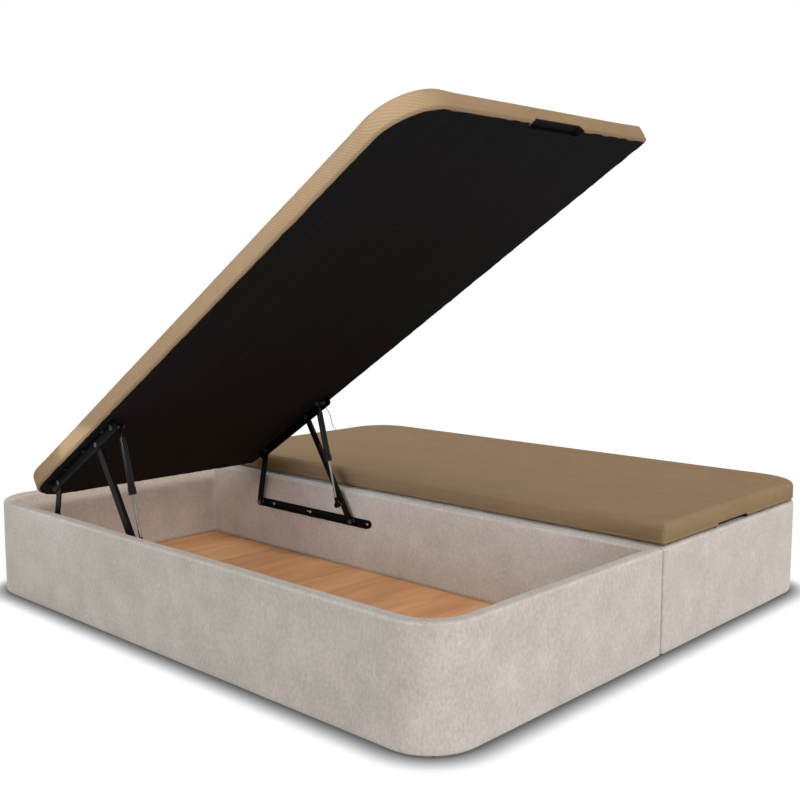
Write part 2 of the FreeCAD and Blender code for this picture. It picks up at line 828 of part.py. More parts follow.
def opened(shape, body):
    """A piece of the closed base, where it is with the lid open"""
    start, end, degrees = swings[body]
    moved = shape.copy()
    moved.rotate(start, across, degrees)
    moved.translate(end - start)
    return moved


def mirrored(shape):
    """A piece of the right-hand box, for the left-hand box"""
    return shape.mirror(Vector(), across)


def save(name, shapes):
    """Write one node, with each of its pieces as a solid of its own"""
    solids = [solid for shape in shapes for solid in shape.Solids]
    node = solids[0] if len(solids) == 1 else Part.makeCompound(solids)
    node.exportStep("parts/" + name + ".step")


# The right lid is closed and the left lid stands open
for name, (body, solids) in pieces.items():
    save("right_" + name, solids)
    save("left_" + name, [mirrored(opened(solid, body)) for solid in solids])

# Pieces that both boxes share
glides = box_glides()
save("glides", glides + [mirrored(glide) for glide in glides])
save("lower_rail_screws", rail_screws + [mirrored(rail_screw) for rail_screw in rail_screws])
save("joining_plates", joining_plates)
save("joining_screws", joining_screws)

# The wire on the open lid
save("left_tie_wire", [tie_wire()])
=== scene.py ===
"""Looks of a storage bed base: two velvet boxes under padded, mesh-covered lids on gas lifts.

Lengths are in metres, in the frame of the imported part: X across the bed, Y towards the head, Z up.
Each half is drawn in u, y, z, where u is the distance from the seam between the two boxes.
Angles are in degrees, and display colours go from 0 to 255.
"""

import json
import math

import bpy
from mathutils import Matrix, Vector, noise


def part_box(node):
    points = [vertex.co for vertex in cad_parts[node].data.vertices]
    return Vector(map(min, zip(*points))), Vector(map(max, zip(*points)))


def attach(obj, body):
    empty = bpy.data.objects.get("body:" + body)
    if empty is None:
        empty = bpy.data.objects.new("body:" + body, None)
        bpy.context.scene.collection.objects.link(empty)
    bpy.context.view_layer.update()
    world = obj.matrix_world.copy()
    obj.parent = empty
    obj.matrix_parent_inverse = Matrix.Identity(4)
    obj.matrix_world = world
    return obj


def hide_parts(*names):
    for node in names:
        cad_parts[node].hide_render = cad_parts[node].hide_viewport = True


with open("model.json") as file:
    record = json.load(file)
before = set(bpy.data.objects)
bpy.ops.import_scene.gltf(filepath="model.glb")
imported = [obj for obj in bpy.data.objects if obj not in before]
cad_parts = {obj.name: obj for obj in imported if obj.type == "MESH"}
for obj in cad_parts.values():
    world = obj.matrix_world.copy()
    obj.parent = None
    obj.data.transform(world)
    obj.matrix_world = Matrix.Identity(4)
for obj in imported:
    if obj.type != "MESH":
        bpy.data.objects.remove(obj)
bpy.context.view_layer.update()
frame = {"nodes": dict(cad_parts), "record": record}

# Camera of the photo
camera_place = Vector((-2.4784, -2.3333, 1.0033))
camera_heading = 46.81
camera_tilt = -6.69
camera_lens = 48.76

# Tie wire that hangs from the centre gas spring of the open lid
wire_route = [
    (-0.0856, 0.2840, 0.5754),
    (-0.0899, 0.2630, 0.5750),
    (-0.0910, 0.2410, 0.5690),
    (-0.0914, 0.2220, 0.5530),
    (-0.0914, 0.2120, 0.5300),
    (-0.0912, 0.2080, 0.5090),
    (-0.0908, 0.1940, 0.5000),
]
wire_diameter = 0.002

# Padded walls of the boxes
outer_radius = 0.130
box_seam_radius = 0.009
box_inner_seam_radius = 0.012
wall = 0.034
rim_radius = 0.011
hem_width = 0.024
hem_thickness = 0.001
hem_curl = 0.004
hem_curl_share = 0.25
hem_drop = 0.002
wall_foot = 0.0362
board_depth = 0.027
wall_row = 0.014
wall_column = 0.014
wall_swell = 0.0009
wall_swell_size = 0.22
rim_swell_size = 0.06

# Sewn seam of the velvet at the middle of the centre wall
cloth_seam_share = 0.5
cloth_seam_width = 0.0022
cloth_seam_depth = 0.0012
cloth_seam_columns = (-2, -1, 0, 1, 2)
same_place_share = 1e-6

# Padded lids
lid_seam_radius = 0.010
least_radius = 0.002
lid_column = 0.028
lid_edge = 0.017
hem_inset = 0.018
hem_gap = 0.0007
frame_gap = 0.0035
lid_wave = 0.0020
lid_wave_size = 0.13
lid_top_wave_size = 0.26
lid_top_wave_share = 0.4

# Hem of a lid's edge, as shares of its inset
lid_hem_shares = (0.75, 0.42)

# Side of a lid's edge, as shares of the edge radius inwards and of the thickness upwards
lid_side_shares = (
    (0.44, 0.025),
    (0.20, 0.065),
    (0.05, 0.13),
    (0.05, 0.185),
    (0.11, 0.205),
    (0.05, 0.225),
    (0.04, 0.29),
    (0.0, 0.42),
    (0.0, 0.56),
    (0.02, 0.68),
)

# Crown of a lid's edge, as shares of the edge radius inwards and downwards
lid_crown_shares = ((1.6, 0.06), (2.4, 0.08), (3.6, 0.04))

# Swelling of the lid covers
lid_pressure = 4.0
lid_puff_cap = 0.003
lid_held_band = 0.10
lid_held_share = 0.22
simulated_frames = 20
sharp_angle = 50.0

# Notch of the finger pull, grown by its tray's wall
pull_centre = 0.390
pull_half_width = 0.1022
pull_half_top = 0.0862
pull_height = 0.0122
pull_depth = 0.0302
pull_overrun = 0.010

# Lining stapled under the lids, in rings at shares of its inset
lining_inset = 0.0100
lining_ring_shares = (1.0, 1.6, 3.0)
lining_scallop = 0.0040
lining_scallop_size = 0.022
lining_drop = 0.0004
lining_slack = 0.0007
lining_slack_size = 0.12
lining_pull_inset = 0.0303
lining_column = 0.012

# Steps of a quarter turn, and how squarely a column faces a side to count as on it
arc_steps = 12
square_share = 0.99

# Display colour curve
display_white = 255
display_dark_share = 0.04
display_dark_divisor = 12.92
display_offset_share = 0.055
display_power = 2.4

# Detail of the noise in the materials, and the swing and middle of their stripes
no_detail = 0.0
soft_detail = 2.0
rich_detail = 3.0
full_detail = 4.0
stripe_share = 0.5

# Velvet pile
velvet_colours = ((146, 138, 130), (197, 188, 179), (236, 227, 218))
velvet_shader = {"Specular IOR Level": 0.15, "Sheen Weight": 0.35, "Sheen Roughness": 0.45}
velvet_cloud = 0.085
velvet_nap = 0.0065
velvet_nap_stretch_shares = (1, 1, 1.6)
velvet_fibre = 0.0022
velvet_fibre_stretch_shares = (1.8, 1, 0.8)
velvet_turn = 45.0
# Painted shade on upward-facing velvet: the tone falls as the normal turns up over this range
velvet_top_shade_range = (0.5, 0.95)
velvet_tone_shares = {"cloud": 0.30, "nap": 0.40, "fibre": 0.36, "painted_top_shade": -0.20}
velvet_base_share = -0.03
velvet_tone_range = (0.1, 0.9)
velvet_roughness = (0.85, 1.0)
velvet_relief = 0.0008
velvet_relief_shares = {"nap": 0.6, "fibre": 0.4}
velvet_bump = 0.35

# Spacer mesh
mesh_colours = ((124, 100, 71), (139, 115, 86), (152, 128, 99))
mesh_shader = {"Specular IOR Level": 0.04}
weave_pitch = 0.0060
weave_cross_pitch = 0.0046
weave_turn = 45.0
weave_patch = 0.03
weave_fade = 0.18
yarn_size = 0.0016
mesh_tone_shares = {"worn": 0.28, "cross": 0.08, "yarn": 0.16, "fade": 0.16}
mesh_base_share = 0.025
mesh_tone_range = (0.06, 0.46)
mesh_roughness = (0.7, 0.95)
weave_relief = 0.0009
weave_relief_shares = {"worn": 0.55, "cross": 0.3, "yarn": 0.15}
weave_bump = 0.15

# Black dust cover
lining_colours = ((23, 22, 23), (31, 30, 31), (42, 40, 41))
lining_shader = {"Specular IOR Level": 0.05}
lining_fibre = 0.004
lining_crease = 0.05
lining_crease_stretch_shares = (0.35, 12, 12)
speck_size = 0.012
speck_range = (0.83, 0.9)
lining_tone_shares = {"fibre": 0.6, "crease": 0.4, "speck": 0.5}
lining_tone_range = (0.3, 0.95)
lining_roughness = (0.75, 0.95)
lining_relief = 0.0015
lining_relief_shares = {"crease": 0.85, "fibre": 0.15}
lining_bump = 0.5

# Wood, with its grain across the bed
floor_wood_colours = ((201, 141, 94), (216, 158, 109), (227, 174, 124))
floor_wood_sizes = {"figure": 0.060, "streak": 0.004, "pore": 0.0025}
raw_wood_colours = ((186, 148, 104), (208, 174, 128), (221, 192, 150))
raw_wood_sizes = {"figure": 0.05, "streak": 0.006, "pore": 0.003}
wood_shader = {"Specular IOR Level": 0.3}
wood_stretch_shares = (9, 1, 1)
streak_stretch_shares = (18, 2, 2)
figure_warp = 0.6
streak_warp = 0.3
wood_tone_shares = {"figure": 0.65, "streak": 0.22, "pore": 0.13}
wood_tone_range = (0.35, 0.65)
wood_roughness = (0.42, 0.6)
wood_relief = 0.0003
wood_bump = 0.25

# Particle board
board_colours = ((150, 118, 84), (184, 152, 112), (204, 176, 138))
board_shader = {"Specular IOR Level": 0.2}
chip_size = 0.006
chip_stretch_shares = (1.5, 1, 1)
chip_patch = 0.06
board_tone_shares = {"chip": 0.8, "patch": 0.2}
board_tone_range = (0.3, 0.7)
board_roughness = (0.75, 0.95)
chip_relief = 0.0006
chip_bump = 0.4

# Metals and plastic
steel_colours = ((7, 7, 7), (11, 11, 11), (18, 18, 19))
steel_shader = {"Specular IOR Level": 0.07}
steel_roughness = (0.28, 0.45)
gloss_shader = {"Specular IOR Level": 0.13}
gloss_roughness = (0.2, 0.32)
coat_mark = 0.0011
# Zinc plate coloured far darker than plain zinc: painted shade standing in for the dark surroundings its pins
# and screws reflect; the lower rail screws use the brighter zinc below
shaded_zinc_colours = ((48, 48, 49), (78, 78, 79), (122, 122, 122))
zinc_shader = {"Metallic": 0.6}
zinc_roughness = (0.3, 0.5)
bright_zinc_colours = ((176, 177, 178), (212, 213, 214), (236, 237, 237))
bright_zinc_shader = {"Metallic": 0.7}
bright_zinc_roughness = (0.25, 0.4)
zinc_mark = 0.0016
# Chrome rods: the grey, warm base colour is a painted reflection of darker, warm surroundings, over the
# chrome's own tone
chrome_reflection_colours = ((98, 96, 93), (132, 130, 126), (168, 166, 161))
chrome_shader = {"Metallic": 1.0}
chrome_roughness = (0.06, 0.16)
rod_mark = 0.0008
plastic_colours = ((5, 5, 5), (9, 9, 9), (14, 14, 15))
plastic_shader = {"Specular IOR Level": 0.06}
plastic_roughness = (0.45, 0.65)
moulding_mark = 0.0009
tone_per_mark = 20
metal_tone_shares = {"mark": 0.55, "tone": 0.45}
metal_tone_range = (0.3, 0.7)
fine_relief = 0.0001
fine_bump = 0.3

# Dark coat of the tie wire, bare at its lower end
wire_colours = ((18, 18, 18), (34, 34, 33), (206, 204, 200))
wire_shader = {"Metallic": 0.5}
wire_bare_top = 0.507
wire_bare_fade = 0.003
wire_tone_shares = {"mark": 0.5, "bare": 0.75}
wire_tone_range = (0.1, 0.9)
wire_roughness = (0.3, 0.5)

# Light and floor, with levels as shares of plain white
ambient_level = 0.70
floor_bounce = 0.60
floor_half_size = 40.0
shadow_reach = 0.070
shadow_power = 2.7
shadow_least = 0.13
shadow_samples = 16

# Lamps
white = (1, 1, 1)
wide_spread = 180.0
lamp_target = Vector((0.0, 0.0, 0.25))
key_place = Vector((0.0, -16.08, 12.15))
key_size = 2.0
key_power = 1560.0
side_place = Vector((-5.0, -1.2, 3.4))
side_size = 2.0
side_power = 47.0
inside_place = Vector((-1.00, -0.15, 0.55))
inside_target = Vector((-0.06, -0.15, 0.26))
inside_length = 1.3
inside_width = 0.1
inside_power = 0.36
inside_spread = 34.0
inside_tint = (0.88, 1.0, 1.12)
strip_middle = Vector((0.9, -0.20, 0.325))
strip_distance = 0.40
strip_tilt = 13.0
strip_length = 2.0
strip_width = 0.05
strip_power = 0.97
strip_spread = 50.0
strip_tint = (0.92, 1.0, 1.18)

# Directions, and the places of the two halves
across_bed = Vector((1, 0, 0))
along_bed = Vector((0, 1, 0))
upward = Vector((0, 0, 1))
right_half = Matrix.Identity(4)
left_half = Matrix.Diagonal((-1, 1, 1, 1))


# Camera
def add_camera():
    """Camera at the photo's viewpoint"""
    heading = math.radians(camera_heading)
    tilt = math.radians(camera_tilt)
    level = math.cos(tilt)
    forward = Vector((level * math.sin(heading), level * math.cos(heading), math.sin(tilt)))
    camera = bpy.data.objects.new("Camera", bpy.data.cameras.new("Camera"))
    camera.data.lens = camera_lens
    camera.location = camera_place
    camera.rotation_euler = forward.to_track_quat("-Z", "Y").to_euler()
    bpy.context.scene.collection.objects.link(camera)
    bpy.context.scene.camera = camera


# Shader building
def display_colour(red, green, blue):
    """Linear colour of an 8-bit display colour"""
    linear = []
    for level in (red, green, blue):
        share = level / display_white
        if share < display_dark_share:
            linear.append(share / display_dark_divisor)
        else:
            linear.append(((share + display_offset_share) / (1 + display_offset_share)) ** display_power)
    return (*linear, 1.0)


def fill_socket(tree, socket, value):
    """Links a socket to another, or sets it to a value"""
    if isinstance(value, bpy.types.NodeSocket):
        tree.links.new(value, socket)
    else:
        socket.default_value = value


def add_node(tree, kind, inputs, **settings):
    """New shader node with its settings, and its inputs set or linked"""
    made = tree.nodes.new("ShaderNode" + kind)
    for name, value in settings.items():
        setattr(made, name, value)
    for name, value in inputs.items():
        fill_socket(tree, made.inputs[name], value)
    return made


def math_node(tree, operation, *values):
    """Result of a math node on values or sockets"""
    made = add_node(tree, "Math", {}, operation=operation)
    for socket, value in zip(made.inputs, values):
        fill_socket(tree, socket, value)
    return made.outputs[0]


def start_material(name, constants):
    """New material, with the values that are the same all over set on its shader"""
    material = bpy.data.materials.new(name)
    material.use_nodes = True
    shader = material.node_tree.nodes["Principled BSDF"]
    for socket, value in constants.items():
        shader.inputs[socket].default_value = value
    return material, material.node_tree, shader


def object_place(tree):
    """Place on the object in metres"""
    return add_node(tree, "TexCoord", {}).outputs["Object"]


def turned_place(tree, place, turn):
    """Place turned in degrees about Z"""
    inputs = {"Vector": place, "Rotation": (0, 0, math.radians(turn))}
    return add_node(tree, "Mapping", inputs).outputs["Vector"]


def grain(tree, place, size, stretch_shares=(1, 1, 1), turn=0.0, detail=soft_detail, warp=0.0):
    """Noise with patches of about that size, turned about Z, drawn out along the axes and warped"""
    scale = [1 / (size * share) for share in stretch_shares]
    drawn = add_node(tree, "Mapping", {"Vector": turned_place(tree, place, turn), "Scale": scale})
    inputs = {"Vector": drawn.outputs["Vector"], "Scale": 1.0, "Detail": detail, "Distortion": warp}
    return add_node(tree, "TexNoise", inputs).outputs[0]


def stripes(tree, place, pitch, turn):
    """Soft stripes across X at that pitch, turned about Z"""
    turned = turned_place(tree, place, turn)
    across = add_node(tree, "SeparateXYZ", {"Vector": turned}).outputs["X"]
    angle = math_node(tree, "MULTIPLY", across, 2 * math.pi / pitch)
    wave = math_node(tree, "SINE", angle)
    return math_node(tree, "MULTIPLY_ADD", wave, stripe_share, stripe_share)


def rise(tree, level, start, end):
    """Goes from 0 to 1 as a level goes from start to end"""
    inputs = {"Value": level, "From Min": start, "From Max": end}
    return add_node(tree, "MapRange", inputs).outputs["Result"]


def summed(tree, levels, shares, total=0.0):
    """Sum of named levels, each times its share, on top of a first total"""
    for name, share in shares.items():
        total = math_node(tree, "MULTIPLY_ADD", levels[name], share, total)
    return total


def paint(tree, shader, level, colours, tone_range):
    """Dark, middle and light colour over a range of a level"""
    low, high = tone_range
    middle = (low + high) / 2
    made = add_node(tree, "ValToRGB", {"Fac": level})
    stops = made.color_ramp.elements
    stops.new(middle)
    for stop, position, colour in zip(stops, (low, middle, high), colours):
        stop.position = position
        stop.color = display_colour(*colour)
    tree.links.new(made.outputs["Color"], shader.inputs["Base Color"])


def roughen(tree, shader, level, roughness):
    """Roughness that follows a level over a range"""
    low, high = roughness
    made = add_node(tree, "MapRange", {"Value": level, "To Min": low, "To Max": high})
    tree.links.new(made.outputs["Result"], shader.inputs["Roughness"])


def add_bump(tree, shader, height, depth, strength):
    """Relief of that depth on the shader"""
    made = add_node(tree, "Bump", {"Height": height, "Distance": depth, "Strength": strength})
    tree.links.new(made.outputs["Normal"], shader.inputs["Normal"])


# Materials
def velvet():
    """Short-pile velvet: cloudy patches, crossed fibres, and painted shade on upward-facing velvet that
    darkens the rim tops
    """
    material, tree, shader = start_material("Velvet_pile", velvet_shader)
    place = object_place(tree)
    facing = add_node(tree, "NewGeometry", {}).outputs["Normal"]
    facing_up = add_node(tree, "SeparateXYZ", {"Vector": facing}).outputs["Z"]
    levels = {
        "cloud": grain(tree, place, velvet_cloud, detail=rich_detail),
        "nap": grain(tree, place, velvet_nap, velvet_nap_stretch_shares, velvet_turn, rich_detail),
        "fibre": grain(tree, place, velvet_fibre, velvet_fibre_stretch_shares, -velvet_turn),
        # Painted shade: upward-facing velvet, such as the rim tops, is coloured darker
        "painted_top_shade": rise(tree, facing_up, *velvet_top_shade_range),
    }
    tone = summed(tree, levels, velvet_tone_shares, velvet_base_share)
    paint(tree, shader, tone, velvet_colours, velvet_tone_range)
    roughen(tree, shader, levels["nap"], velvet_roughness)
    add_bump(tree, shader, summed(tree, levels, velvet_relief_shares), velvet_relief, velvet_bump)
    return material


def mesh_cloth():
    """Spacer mesh: diagonal ribs, worn in patches and crossed by finer ones, with uneven yarn"""
    material, tree, shader = start_material("Spacer_mesh", mesh_shader)
    place = add_node(tree, "TexCoord", {}).outputs["UV"]
    ribs = stripes(tree, place, weave_pitch, -weave_turn)
    patch = grain(tree, place, weave_patch, detail=rich_detail)
    levels = {
        "worn": math_node(tree, "MULTIPLY", ribs, patch),
        "cross": stripes(tree, place, weave_cross_pitch, weave_turn),
        "yarn": grain(tree, place, yarn_size),
        "fade": grain(tree, place, weave_fade, detail=rich_detail),
    }
    tone = summed(tree, levels, mesh_tone_shares, mesh_base_share)
    paint(tree, shader, tone, mesh_colours, mesh_tone_range)
    roughen(tree, shader, levels["yarn"], mesh_roughness)
    add_bump(tree, shader, summed(tree, levels, weave_relief_shares), weave_relief, weave_bump)
    return material


def lining():
    """Black non-woven dust cover with faint lengthwise creases and a few pale specks"""
    material, tree, shader = start_material("Black_dust_cover", lining_shader)
    place = object_place(tree)
    specks = grain(tree, place, speck_size, detail=no_detail)
    levels = {
        "fibre": grain(tree, place, lining_fibre, detail=full_detail),
        "crease": grain(tree, place, lining_crease, lining_crease_stretch_shares),
        "speck": rise(tree, specks, *speck_range),
    }
    paint(tree, shader, summed(tree, levels, lining_tone_shares), lining_colours, lining_tone_range)
    roughen(tree, shader, levels["fibre"], lining_roughness)
    add_bump(tree, shader, summed(tree, levels, lining_relief_shares), lining_relief, lining_bump)
    return material


def wood(name, colours, sizes):
    """Wood with broad figure, fine streaks and short pores along its grain"""
    material, tree, shader = start_material(name, wood_shader)
    place = object_place(tree)
    levels = {
        "figure": grain(
            tree, place, sizes["figure"], wood_stretch_shares, detail=rich_detail, warp=figure_warp
        ),
        "streak": grain(
            tree, place, sizes["streak"], streak_stretch_shares, detail=full_detail, warp=streak_warp
        ),
        "pore": grain(tree, place, sizes["pore"], wood_stretch_shares),
    }
    paint(tree, shader, summed(tree, levels, wood_tone_shares), colours, wood_tone_range)
    roughen(tree, shader, levels["streak"], wood_roughness)
    add_bump(tree, shader, levels["pore"], wood_relief, wood_bump)
    return material


def particle_board():
    """Pressed wood chips of mixed tone"""
    material, tree, shader = start_material("Particle_board", board_shader)
    place = object_place(tree)
    levels = {
        "chip": grain(tree, place, chip_size, chip_stretch_shares, detail=full_detail),
        "patch": grain(tree, place, chip_patch),
    }
    paint(tree, shader, summed(tree, levels, board_tone_shares), board_colours, board_tone_range)
    roughen(tree, shader, levels["chip"], board_roughness)
    add_bump(tree, shader, levels["chip"], chip_relief, chip_bump)
    return material


def metal(name, colours, mark, roughness, constants):
    """Metal or plastic surface with fine marks, uneven gloss and a slight tone change"""
    material, tree, shader = start_material(name, constants)
    place = object_place(tree)
    levels = {
        "mark": grain(tree, place, mark, detail=rich_detail),
        "tone": grain(tree, place, tone_per_mark * mark),
    }
    tone = summed(tree, levels, metal_tone_shares)
    paint(tree, shader, tone, colours, metal_tone_range)
    roughen(tree, shader, tone, roughness)
    add_bump(tree, shader, levels["mark"], fine_relief, fine_bump)
    return material


def coated_wire():
    """Wire with a dark coat, bare at its lower end"""
    material, tree, shader = start_material("Tie_wire", wire_shader)
    place = object_place(tree)
    height = add_node(tree, "SeparateXYZ", {"Vector": place}).outputs["Z"]
    levels = {
        "mark": grain(tree, place, zinc_mark, detail=rich_detail),
        "bare": rise(tree, height, wire_bare_top + wire_bare_fade, wire_bare_top),
    }
    paint(tree, shader, summed(tree, levels, wire_tone_shares), wire_colours, wire_tone_range)
    roughen(tree, shader, levels["mark"], wire_roughness)
    add_bump(tree, shader, levels["mark"], fine_relief, fine_bump)
    return material


finishes = {
    "velvet": velvet(),
    "mesh_cloth": mesh_cloth(),
    "lining": lining(),
    "floor_wood": wood("Beech_panel", floor_wood_colours, floor_wood_sizes),
    "raw_wood": wood("Raw_pine", raw_wood_colours, raw_wood_sizes),
    "carcass_board": particle_board(),
    "black_steel": metal("Black_coated_steel", steel_colours, coat_mark, steel_roughness, steel_shader),
    # Zinc with painted shade in its colour
    "zinc": metal("Zinc_plate", shaded_zinc_colours, zinc_mark, zinc_roughness, zinc_shader),
    "chrome_rod": metal("Chrome_rod", chrome_reflection_colours, rod_mark, chrome_roughness, chrome_shader),
    "black_plastic": metal(
        "Black_moulding", plastic_colours, moulding_mark, plastic_roughness, plastic_shader
    ),
    "wire": coated_wire(),
}
bright_zinc = metal(
    "Bright_zinc", bright_zinc_colours, zinc_mark, bright_zinc_roughness, bright_zinc_shader
)
gloss_black = metal("Gloss_black", steel_colours, coat_mark, gloss_roughness, gloss_shader)
own_finishes = {
    "lower_rail_screws": bright_zinc,
    "left_gas_cylinders": gloss_black,
    "right_gas_cylinders": gloss_black,
}


def dress_frame():
    """Gives each CAD piece its own finish, or else the finish of its slot"""
    for name, piece in frame["nodes"].items():
        slot = piece.data.materials[0].name
        if name in own_finishes:
            piece.data.materials[0] = own_finishes[name]
        elif slot in finishes:
            piece.data.materials[0] = finishes[slot]


# Mesh building
def even_shares(length, step):
    """Shares along a straight that divide it into about that step, without its ends"""
    count = max(2, round(length / step))
    return [index / count for index in range(1, count)]


def plan_sides(low, high, step):
    """Shares of evenly spaced columns on the four straights of a plan"""
    across = even_shares(high.x - low.x, step)
    along = even_shares(high.y - low.y, step)
    return [across, along, across, along]


def plan_ring(low, high, seam_radius, outer_corner, sides):
    """Points and outward directions round a plan, anticlockwise from the corner at the seam and the foot"""
    corners = [
        (Vector((low.x + seam_radius, low.y + seam_radius)), seam_radius),
        (Vector((high.x - outer_corner, low.y + outer_corner)), outer_corner),
        (Vector((high.x - outer_corner, high.y - outer_corner)), outer_corner),
        (Vector((low.x + seam_radius, high.y - seam_radius)), seam_radius),
    ]
    ring = []
    for index, (centre, radius) in enumerate(corners):
        for step in range(arc_steps + 1):
            angle = math.pi + (index + step / arc_steps) * math.pi / 2
            out = Vector((math.cos(angle), math.sin(angle)))
            ring.append((centre + out * radius, out))
        start = ring[-1][0]
        next_centre, next_radius = corners[(index + 1) % len(corners)]
        end = next_centre + out * next_radius
        ring += [(start.lerp(end, share), out) for share in sides[index]]
    return ring


def lofted(rings, closed):
    """Faces between rings of equal count, listed from the bottom up the outside"""
    count = len(rings[0])
    faces = []
    pairs = [(row, row + 1) for row in range(len(rings) - 1)]
    if closed:
        pairs.append((len(rings) - 1, 0))
    for lower, upper in pairs:
        for column in range(count):
            following = (column + 1) % count
            faces.append((
                lower * count + column,
                lower * count + following,
                upper * count + following,
                upper * count + column,
            ))
    return faces


def side_edges(total, sides):
    """Indices along the foot, outer, head and seam side of a ring, each between the middles of two corners"""
    starts = []
    start = arc_steps // 2
    for side in sides:
        starts.append(start)
        start += arc_steps + 1 + len(side)
    edges = []
    for begin, end in zip(starts, starts[1:] + starts[:1]):
        length = (end - begin) % total
        edges.append([(begin + step) % total for step in range(length + 1)])
    foot, outer, head, seam = edges
    return foot, outer, head[::-1], seam[::-1]


def filled(ring, first, sides):
    """Points and faces that fill a ring, spread between its four sides; first is the ring's first index"""
    total = len(ring)
    foot, outer, head, seam = side_edges(total, sides)
    wide = len(foot) - 1
    long = len(outer) - 1
    points = []
    grid = [[first + index for index in seam]]
    for across in range(1, wide):
        across_share = across / wide
        foot_end = ring[foot[0]].lerp(ring[foot[-1]], across_share)
        head_end = ring[head[0]].lerp(ring[head[-1]], across_share)
        line = [first + foot[across]]
        for along in range(1, long):
            along_share = along / long
            ends = ring[foot[across]].lerp(ring[head[across]], along_share)
            flanks = ring[seam[along]].lerp(ring[outer[along]], across_share)
            line.append(first + total + len(points))
            points.append(ends + flanks - foot_end.lerp(head_end, along_share))
        grid.append(line + [first + head[across]])
    grid.append([first + index for index in outer])
    faces = []
    for line, following in zip(grid, grid[1:]):
        for along in range(long):
            faces.append((line[along], following[along], following[along + 1], line[along + 1]))
    return points, faces


def make_piece(name, points, faces, place, finish):
    """Smooth mesh object from points in u, y, z, set in place"""
    mesh = bpy.data.meshes.new(name)
    mesh.from_pydata(points, [], faces)
    mesh.transform(place)
    if place.determinant() < 0:
        mesh.flip_normals()
    mesh.shade_smooth()
    mesh.materials.append(finish)
    piece = bpy.data.objects.new(name, mesh)
    bpy.context.scene.collection.objects.link(piece)
    return piece


def swell(point, size, seed):
    """Gentle unevenness from -1 to 1, the same on every run"""
    return noise.noise(point / size + Vector((seed, 2 * seed, 3 * seed)))


# Velvet boxes
def wall_profile(bottom, top):
    """Inset and height of points round a padded wall: under the hem, up the outside, down the inside"""
    points = [
        (hem_width, bottom - hem_thickness),
        (hem_width / 2, bottom - hem_thickness),
        (hem_curl, bottom - hem_thickness),
        (hem_curl * hem_curl_share, bottom + hem_curl * hem_curl_share),
        (0, bottom + hem_curl),
    ]
    face_top = top - rim_radius
    rows = round((face_top - bottom) / wall_row)
    rise_to_rim = face_top - bottom - hem_curl
    points += [(0, bottom + hem_curl + rise_to_rim * row / rows) for row in range(1, rows)]
    for step in range(arc_steps + 1):
        angle = math.pi * (1 - step / arc_steps / 2)
        points.append((rim_radius * (1 + math.cos(angle)), face_top + rim_radius * math.sin(angle)))
    for step in range(arc_steps + 1):
        angle = math.pi / 2 * (1 - step / arc_steps)
        points.append((wall - rim_radius * (1 - math.cos(angle)), face_top + rim_radius * math.sin(angle)))
    points += [(wall, face_top + (wall_foot - face_top) * row / rows) for row in range(1, rows + 1)]
    points += [(board_depth, wall_foot), (hem_width, bottom + hem_thickness)]
    return points


def profile_normals(profile):
    """Outward directions of a closed profile, as inset and height"""
    normals = []
    for index in range(len(profile)):
        before = Vector(profile[index - 1])
        after = Vector(profile[(index + 1) % len(profile)])
        along = (after - before).normalized()
        normals.append(Vector((-along.y, along.x)))
    return normals


def box_sides(low, high):
    """Shares of the columns on the four straights of a box, with close ones at the cloth seam"""
    across, outer, _, inner = plan_sides(low, high, wall_column)
    length = high.y - low.y
    seam = [cloth_seam_share + cloth_seam_width * column / length for column in cloth_seam_columns]
    apart = [share for share in inner if min(abs(share - s) for s in seam) > same_place_share]
    return [across, outer, across, sorted(apart + seam)]


def box_velvet(side, place, seed):
    """Velvet over the outside, the rim and the inside of one box's walls"""
    low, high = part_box("right_upholstery")
    profile = wall_profile(low.z - hem_drop, high.z)
    sides = box_sides(low, high)
    face_top = high.z - rim_radius
    rings = []
    for (inset, height), normal in zip(profile, profile_normals(profile)):
        share = inset / wall
        seam_radius = box_seam_radius + (box_inner_seam_radius - box_seam_radius) * share
        margin = Vector((inset, inset, 0))
        ring = []
        for spot, out in plan_ring(low + margin, high - margin, seam_radius, outer_radius - inset, sides):
            point = Vector((spot.x, spot.y, height))
            lift = wall_swell * swell(point, wall_swell_size, seed)
            if height > face_top:
                lift += wall_swell * swell(point, rim_swell_size, seed)
            if inset > wall / 2 and out.x < -square_share:
                lift -= cloth_seam_depth * math.exp(-((spot.y / cloth_seam_width) ** 2))
            ring.append(point + Vector((*(-out * normal.x), normal.y)) * lift)
        rings.append(ring)
    points = [point for ring in rings for point in ring]
    piece = make_piece(side + "_velvet", points, lofted(rings, True), place, finishes["velvet"])
    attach(piece, "boxes")
    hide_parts(side + "_upholstery")


# Lids
def lid_profile(bottom, top):
    """Inset and height of points round a lid's edge: from the hem, over the roll and side, to the flat top"""
    hem = bottom + hem_gap
    thickness = top - hem
    rows = [(hem_inset + hem_curl * hem_curl_share, hem + frame_gap), (hem_inset, hem)]
    rows += [(share * hem_inset, hem) for share in lid_hem_shares]
    rows += [(inset * lid_edge, hem + share * thickness) for inset, share in lid_side_shares]
    steps = arc_steps // 2
    for step in range(1, steps + 1):
        angle = math.pi / 2 * step / steps
        rows.append((lid_edge * (1 - math.cos(angle)), top - lid_edge * (1 - math.sin(angle))))
    rows += [(inset * lid_edge, top - drop * lid_edge) for inset, drop in lid_crown_shares]
    return rows


def lid_ring(low, high, inset, sides):
    """Ring of a lid's plan drawn in by an inset"""
    margin = Vector((inset, inset, 0))
    seam_radius = max(lid_seam_radius - inset, least_radius)
    return plan_ring(low + margin, high - margin, seam_radius, outer_radius - inset, sides)


